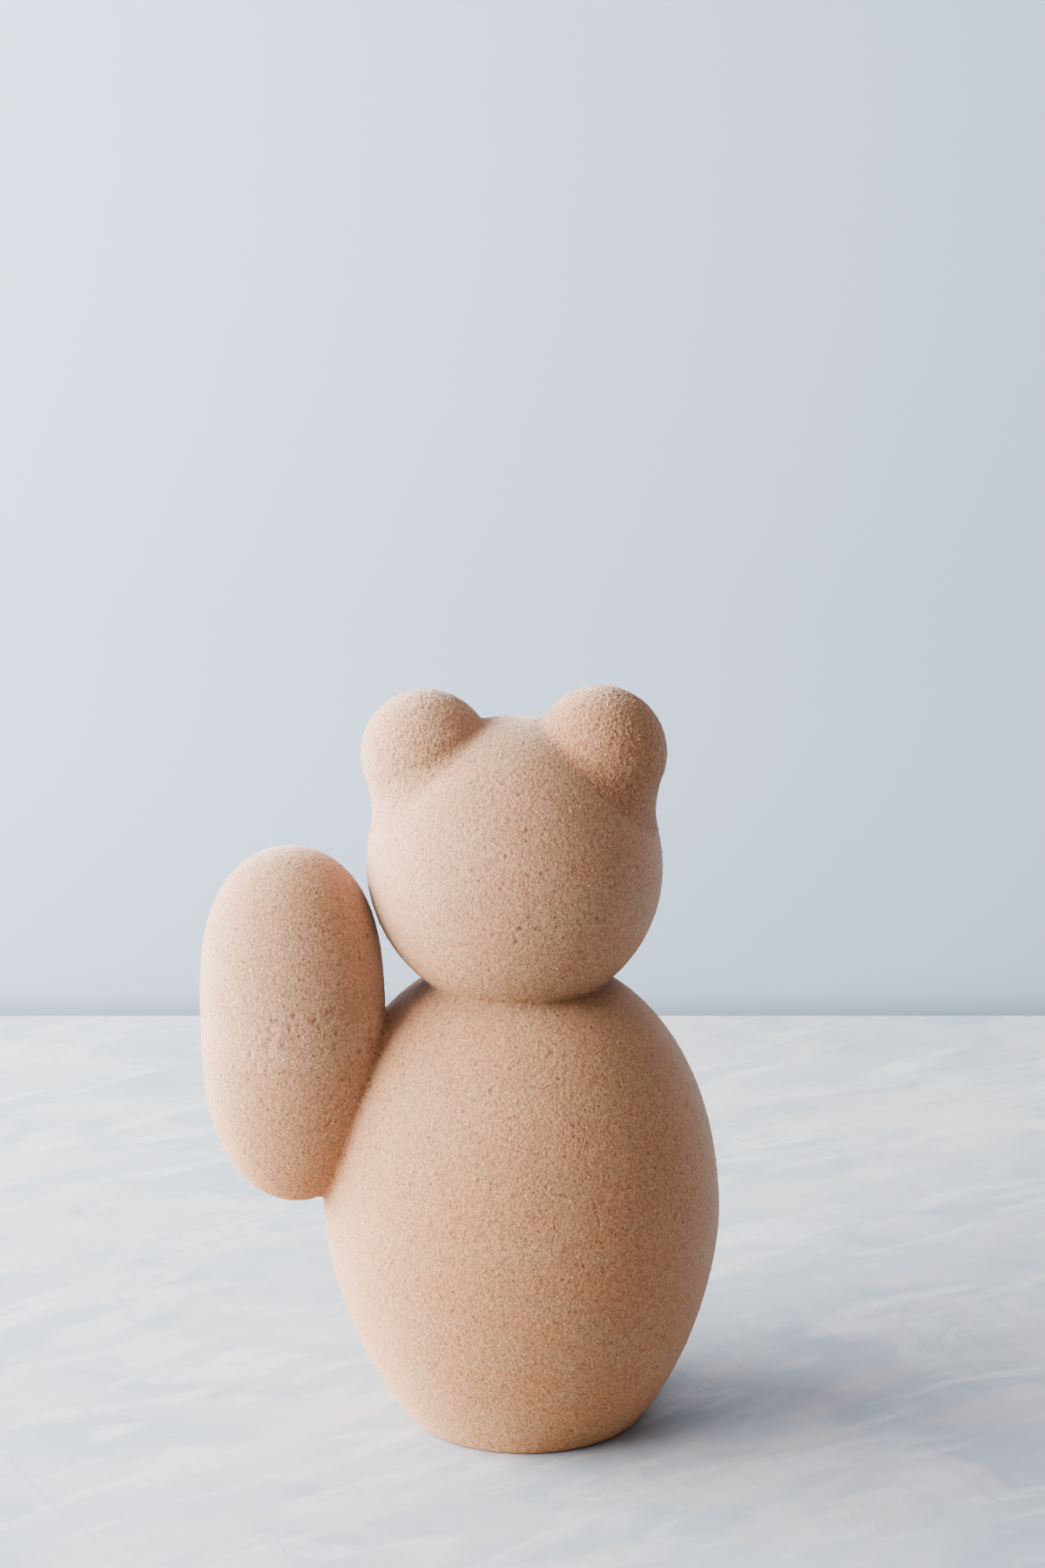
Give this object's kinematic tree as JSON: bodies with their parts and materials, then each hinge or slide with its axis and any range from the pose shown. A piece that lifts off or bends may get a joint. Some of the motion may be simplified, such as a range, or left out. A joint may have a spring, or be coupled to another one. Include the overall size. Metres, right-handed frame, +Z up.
{
  "type": "lucky cat figurine",
  "caption": "Faceless beckoning cat in unglazed stoneware: egg body on a flat foot, ball head with round ears, and a fixed raised arm.",
  "frame": {"origin": "centre of the flat foot, on the surface that the figurine stands on", "axes": "+Z up, the cat faces -Y, its raised arm is on its own right, at -X"},
  "size_m": [0.1402, 0.1082, 0.2046],
  "materials": {
    "body_clay": "unglazed groggy stoneware, sponged matt",
    "head_clay": "unglazed groggy stoneware, sponged matt",
    "ear_clay": "unglazed groggy stoneware, rough and pebbly",
    "arm_clay": "unglazed groggy stoneware, sponged matt"
  },
  "bodies": {
    "root": {"body_lower": "body_clay", "body_upper": "body_clay", "head_lower": "head_clay", "head_upper": "head_clay", "ear_right": "ear_clay", "ear_left": "ear_clay", "arm_lower": "arm_clay", "arm_upper": "arm_clay"}
  },
  "joints": []
}
